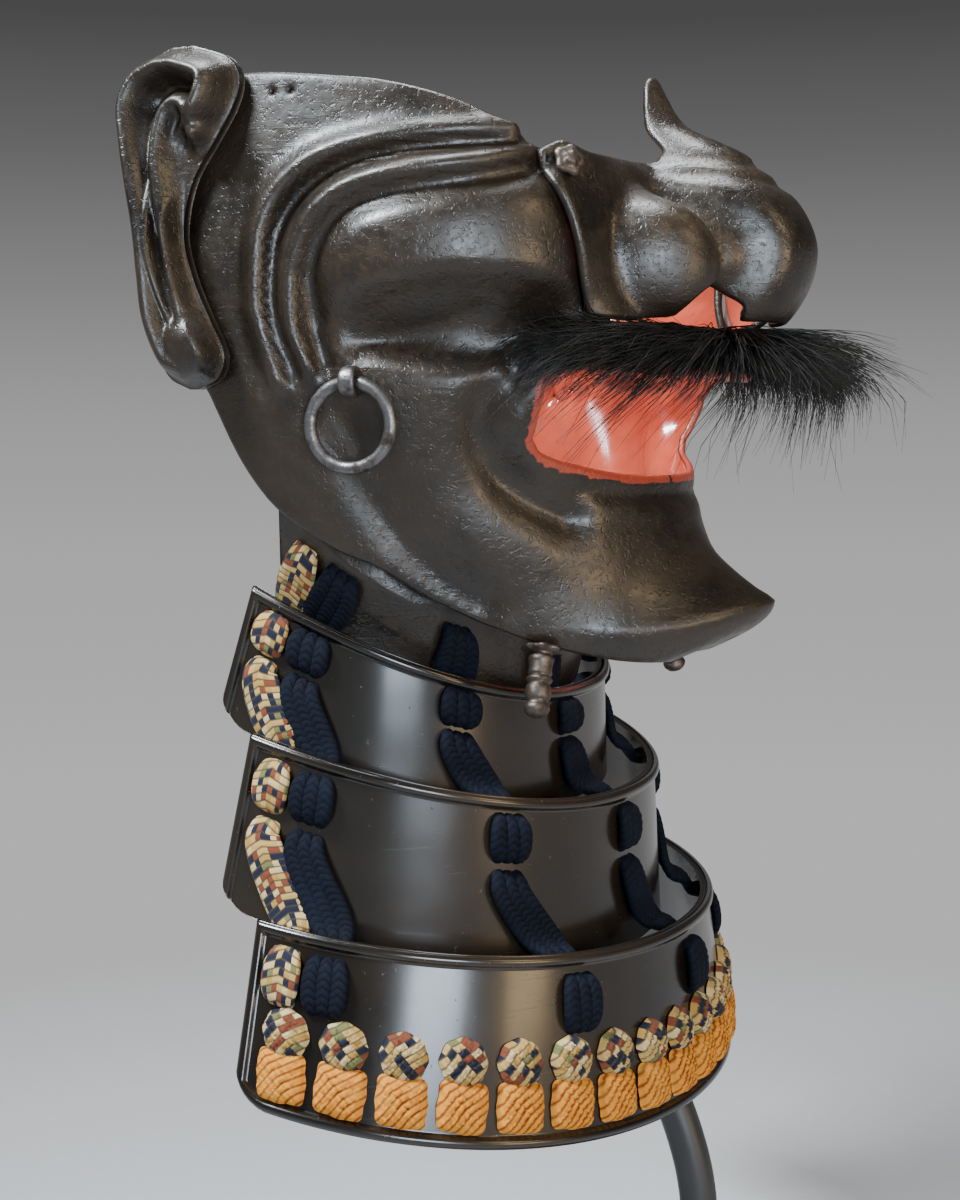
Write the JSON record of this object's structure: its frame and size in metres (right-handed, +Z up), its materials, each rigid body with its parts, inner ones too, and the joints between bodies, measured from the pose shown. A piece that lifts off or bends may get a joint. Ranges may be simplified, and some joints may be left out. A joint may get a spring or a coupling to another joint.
{
  "type": "samurai face guard with throat guard on a display stand",
  "caption": "Hammered iron face guard with nose, ears, cheek rings and moustache, a laced throat guard of lacquered plates below it, and a plain rod stand.",
  "frame": {"origin": "centre of the underside of the stand's base", "axes": "+Z up, the face looks along -Y, +X is the wearer's left"},
  "size_m": [0.1776, 0.15, 0.3165],
  "materials": {
    "russet_iron": "dark brown lacquered iron, satin",
    "black_lacquer": "black-brown lacquer, gloss",
    "steel": "worn",
    "peg_iron": "worn brown",
    "horsehair": "hair",
    "navy_lace": "knitted",
    "bright_braid": "braided",
    "orange_lace": "braided",
    "stand_paint": "satin"
  },
  "bodies": {
    "mask": {"face_plate": "russet_iron", "nose_plate": "russet_iron", "ear_right": "russet_iron", "ear_left": "russet_iron", "ring_staple_right": "steel", "ring_staple_left": "steel", "chin_peg_right": "peg_iron", "chin_peg_left": "peg_iron", "moustache": "horsehair", "neck_plate": "russet_iron", "lame_1": "black_lacquer", "lame_2": "black_lacquer", "lame_3": "black_lacquer", "edge_braid_right": "bright_braid", "edge_braid_left": "bright_braid", "end_lace_right": "navy_lace", "end_lace_left": "navy_lace", "side_lace_right": "navy_lace", "side_lace_left": "navy_lace", "front_lace": "navy_lace", "bright_knots": "bright_braid", "orange_knots": "orange_lace", "stand_base": "stand_paint", "stand_rod": "stand_paint", "stand_saddle": "stand_paint"},
    "ring_right": {"cheek_ring_right": "steel"},
    "ring_left": {"cheek_ring_left": "steel"},
    "pin_right": {"nose_pin_right": "steel"},
    "pin_left": {"nose_pin_left": "steel"}
  },
  "joints": [
    {"name": "ring_right_swing", "type": "hinge", "parent": "mask", "child": "ring_right", "pos_m": [-0.07342, 0.01994, 0.24677], "axis": [-0.1801, 0.9837, 0], "range_deg": [-5, 100]},
    {"name": "ring_left_swing", "type": "hinge", "parent": "mask", "child": "ring_left", "pos_m": [0.07342, 0.01994, 0.24677], "axis": [-0.1801, -0.9837, 0], "range_deg": [-5, 100]},
    {"name": "pin_right_turn", "type": "hinge", "parent": "mask", "child": "pin_right", "pos_m": [-0.05144, -0.01846, 0.2912], "axis": [-0.5062, -0.8277, 0.2422], "range_deg": [0, 90]},
    {"name": "pin_left_turn", "type": "hinge", "parent": "mask", "child": "pin_left", "pos_m": [0.05144, -0.01846, 0.2912], "axis": [0.5062, -0.8277, 0.2422], "range_deg": [0, 90]}
  ]
}
